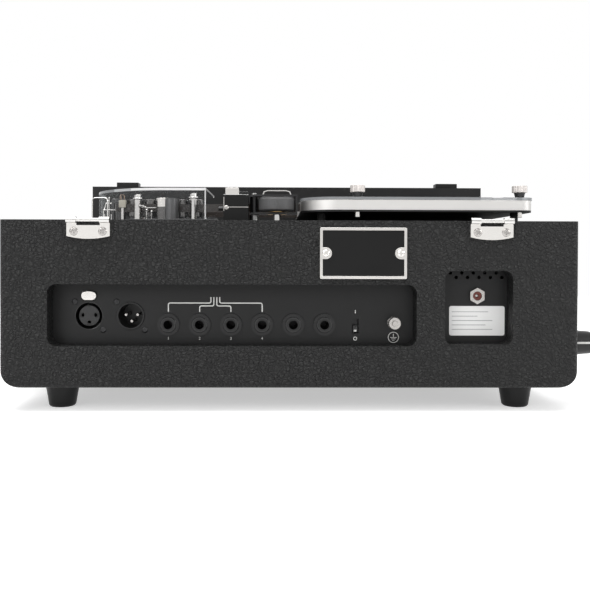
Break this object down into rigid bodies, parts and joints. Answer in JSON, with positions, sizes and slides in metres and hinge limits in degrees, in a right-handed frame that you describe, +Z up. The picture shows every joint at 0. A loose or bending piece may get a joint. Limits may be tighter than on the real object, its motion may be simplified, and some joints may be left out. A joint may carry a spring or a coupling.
{
  "type": "tape echo unit",
  "caption": "Tape echo unit in a covered wooden case with its lid off: rear sockets, open tape bin, heads and capstan on the deck, and a raised sloping control housing.",
  "frame": {"origin": "on the surface it stands on, under the middle of its outline seen from above", "axes": "+X to the right seen from the rear, +Y from the rear panel towards the player, +Z up"},
  "size_m": [0.4508, 0.3096, 0.1822],
  "materials": {
    "covered_wood": "plywood under black pebbled vinyl",
    "black_rubber": "satin moulded rubber",
    "nickel": "bright nickel plate",
    "steel": "brushed steel",
    "black_sheet": "satin black powder coat",
    "black_plastic": "black moulded plastic",
    "white_plastic": "white moulded plastic",
    "aluminium": "bead blasted, clear anodised",
    "clear_sheet": "polished clear acrylic",
    "bronze": "sintered bronze",
    "magnetic_tape": "brown oxide tape",
    "board": "green lacquered board",
    "red_paint": "matt red"
  },
  "bodies": {
    "chassis": {"case_shell": "covered_wood", "rubber_feet": "black_rubber", "hinge_halves": "nickel", "latch_keepers": "nickel", "handle_brackets": "nickel", "badge_plate": "nickel", "trim_screws": "nickel", "rear_panel": "black_sheet", "xlr_input_socket": "black_plastic", "xlr_output_socket": "black_plastic", "xlr_output_poles": "nickel", "jack_sockets": "black_plastic", "stop_switch_body": "black_plastic", "earth_stud": "nickel", "power_panel": "black_sheet", "power_inlet": "nickel", "deck_plate": "black_sheet", "bin_floor": "black_sheet", "bin_wall": "aluminium", "bin_posts": "black_sheet", "tape_loop": "magnetic_tape", "capstan_bearing": "bronze", "drive_motor": "steel", "drive_belt": "black_rubber", "solenoid": "steel", "head_plate": "aluminium", "erase_head": "steel", "record_head": "nickel", "playback_heads": "nickel", "guide_posts": "nickel", "head_cover": "clear_sheet", "control_housing": "black_sheet", "lid_bumpers": "black_rubber", "meter_body": "black_plastic", "power_switch_frame": "black_plastic", "circuit_board": "board"},
    "handle": {"carry_handle": "black_rubber"},
    "release_tab": {"xlr_release_tab": "nickel"},
    "stop_lever": {"stop_switch_lever": "white_plastic"},
    "earth_nut": {"earth_nut": "nickel"},
    "speed_knob": {"speed_knob": "black_plastic"},
    "bin_cover": {"bin_cover": "clear_sheet"},
    "thumb_right": {"thumbscrew_right": "nickel"},
    "thumb_left": {"thumbscrew_left": "nickel"},
    "thumb_front": {"thumbscrew_front": "nickel"},
    "capstan": {"capstan": "steel"},
    "motor_pulley": {"motor_pulley": "bronze"},
    "pinch_arm": {"pinch_arm": "steel"},
    "pinch_roller": {"pinch_roller": "black_rubber"},
    "plunger": {"solenoid_plunger": "steel"},
    "tension_arm": {"tension_arm": "nickel"},
    "meter_needle": {"meter_needle": "red_paint"},
    "mode_selector": {"mode_selector": "black_plastic"},
    "power_switch": {"power_switch": "black_plastic"},
    "input_knob": {"input_knob": "black_plastic"},
    "echo_knob": {"echo_knob": "black_plastic"},
    "reverb_knob": {"reverb_knob": "black_plastic"},
    "bass_knob": {"bass_knob": "black_plastic"},
    "treble_knob": {"treble_knob": "black_plastic"},
    "repeat_knob": {"repeat_knob": "black_plastic"}
  },
  "joints": [
    {"name": "handle_swing", "type": "hinge", "parent": "chassis", "child": "handle", "pos_m": [-0.21435, -0.0002, 0.1014], "axis": [0, 1, 0], "range_deg": [0, 90]},
    {"name": "tab_push", "type": "slide", "parent": "chassis", "child": "release_tab", "axis": [0, 1, 0], "range_m": [0, 0.0015], "stiffness_N_per_m": 400},
    {"name": "stop_slide", "type": "slide", "parent": "chassis", "child": "stop_lever", "axis": [0, 0, 1], "range_m": [0, 0.0044]},
    {"name": "earth_turn", "type": "hinge", "parent": "chassis", "child": "earth_nut", "pos_m": [0.07595, -0.1397, 0.063], "axis": [0, -1, 0], "range_deg": [0, 720]},
    {"name": "speed_turn", "type": "hinge", "parent": "chassis", "child": "speed_knob", "pos_m": [0.20665, -0.1252, 0.0476], "axis": [1, 0, 0], "range_deg": [-150, 150]},
    {"name": "cover_lift", "type": "slide", "parent": "chassis", "child": "bin_cover", "axis": [0, 0, 1], "range_m": [0, 0.04]},
    {"name": "thumb_turn_right", "type": "hinge", "parent": "bin_cover", "child": "thumb_right", "pos_m": [0.17145, -0.1247, 0.1532], "axis": [0, 0, 1], "range_deg": [0, 720]},
    {"name": "thumb_turn_left", "type": "hinge", "parent": "bin_cover", "child": "thumb_left", "pos_m": [0.05055, -0.1247, 0.1532], "axis": [0, 0, 1], "range_deg": [0, 720]},
    {"name": "thumb_turn_front", "type": "hinge", "parent": "bin_cover", "child": "thumb_front", "pos_m": [0.09495, 0.0343, 0.1532], "axis": [0, 0, 1], "range_deg": [0, 720]},
    {"name": "capstan_spin", "type": "hinge", "parent": "chassis", "child": "capstan", "pos_m": [-0.00935, -0.0882, 0.1353], "axis": [0, 0, 1], "continuous": true},
    {"name": "pulley_spin", "type": "hinge", "parent": "chassis", "child": "motor_pulley", "pos_m": [-0.09135, -0.0322, 0.0903], "axis": [0, 0, 1], "continuous": true},
    {"name": "arm_swing", "type": "hinge", "parent": "chassis", "child": "pinch_arm", "pos_m": [-0.02685, -0.1032, 0.1495], "axis": [0, 0, 1], "range_deg": [0, 8.5], "stiffness_Nm_per_rad": 0.2, "springref_deg": -11.46},
    {"name": "roller_spin", "type": "hinge", "parent": "pinch_arm", "child": "pinch_roller", "pos_m": [-0.00935, -0.10815, 0.1495], "axis": [0, 0, 1], "continuous": true},
    {"name": "plunger_pull", "type": "slide", "parent": "chassis", "child": "plunger", "axis": [1, 0, 0], "range_m": [-0.0026, 0]},
    {"name": "tension_swing", "type": "hinge", "parent": "chassis", "child": "tension_arm", "pos_m": [-0.14535, -0.0462, 0.1428], "axis": [0, 0, 1], "range_deg": [-12, 12], "stiffness_Nm_per_rad": 0.02},
    {"name": "needle_swing", "type": "hinge", "parent": "chassis", "child": "meter_needle", "pos_m": [0.13265, 0.10472, 0.13495], "axis": [0, 0.7644, 0.6447], "range_deg": [-80, 0], "stiffness_Nm_per_rad": 0.00002},
    {"name": "selector_turn", "type": "hinge", "parent": "chassis", "child": "mode_selector", "pos_m": [-0.10535, 0.11063, 0.13726], "axis": [0, 0.7644, 0.6447], "range_deg": [0, 300]},
    {"name": "input_turn", "type": "hinge", "parent": "chassis", "child": "input_knob", "pos_m": [0.05865, 0.09513, 0.15564], "axis": [0, 0.7644, 0.6447], "range_deg": [0, 300]},
    {"name": "echo_turn", "type": "hinge", "parent": "chassis", "child": "echo_knob", "pos_m": [0.01465, 0.09513, 0.15564], "axis": [0, 0.7644, 0.6447], "range_deg": [0, 300]},
    {"name": "reverb_turn", "type": "hinge", "parent": "chassis", "child": "reverb_knob", "pos_m": [-0.02935, 0.09513, 0.15564], "axis": [0, 0.7644, 0.6447], "range_deg": [0, 300]},
    {"name": "bass_turn", "type": "hinge", "parent": "chassis", "child": "bass_knob", "pos_m": [0.05865, 0.12613, 0.11887], "axis": [0, 0.7644, 0.6447], "range_deg": [0, 300]},
    {"name": "treble_turn", "type": "hinge", "parent": "chassis", "child": "treble_knob", "pos_m": [0.01465, 0.12613, 0.11887], "axis": [0, 0.7644, 0.6447], "range_deg": [0, 300]},
    {"name": "repeat_turn", "type": "hinge", "parent": "chassis", "child": "repeat_knob", "pos_m": [-0.02935, 0.12613, 0.11887], "axis": [0, 0.7644, 0.6447], "range_deg": [0, 300]},
    {"name": "power_rock", "type": "hinge", "parent": "chassis", "child": "power_switch", "pos_m": [-0.16135, 0.11925, 0.11307], "axis": [1, 0, 0], "range_deg": [-9, 9]}
  ],
  "couplings": [
    {"joint": "pulley_spin", "follows": "capstan_spin", "ratio": 4.8182},
    {"joint": "plunger_pull", "follows": "arm_swing", "m_per_rad": -0.017}
  ]
}
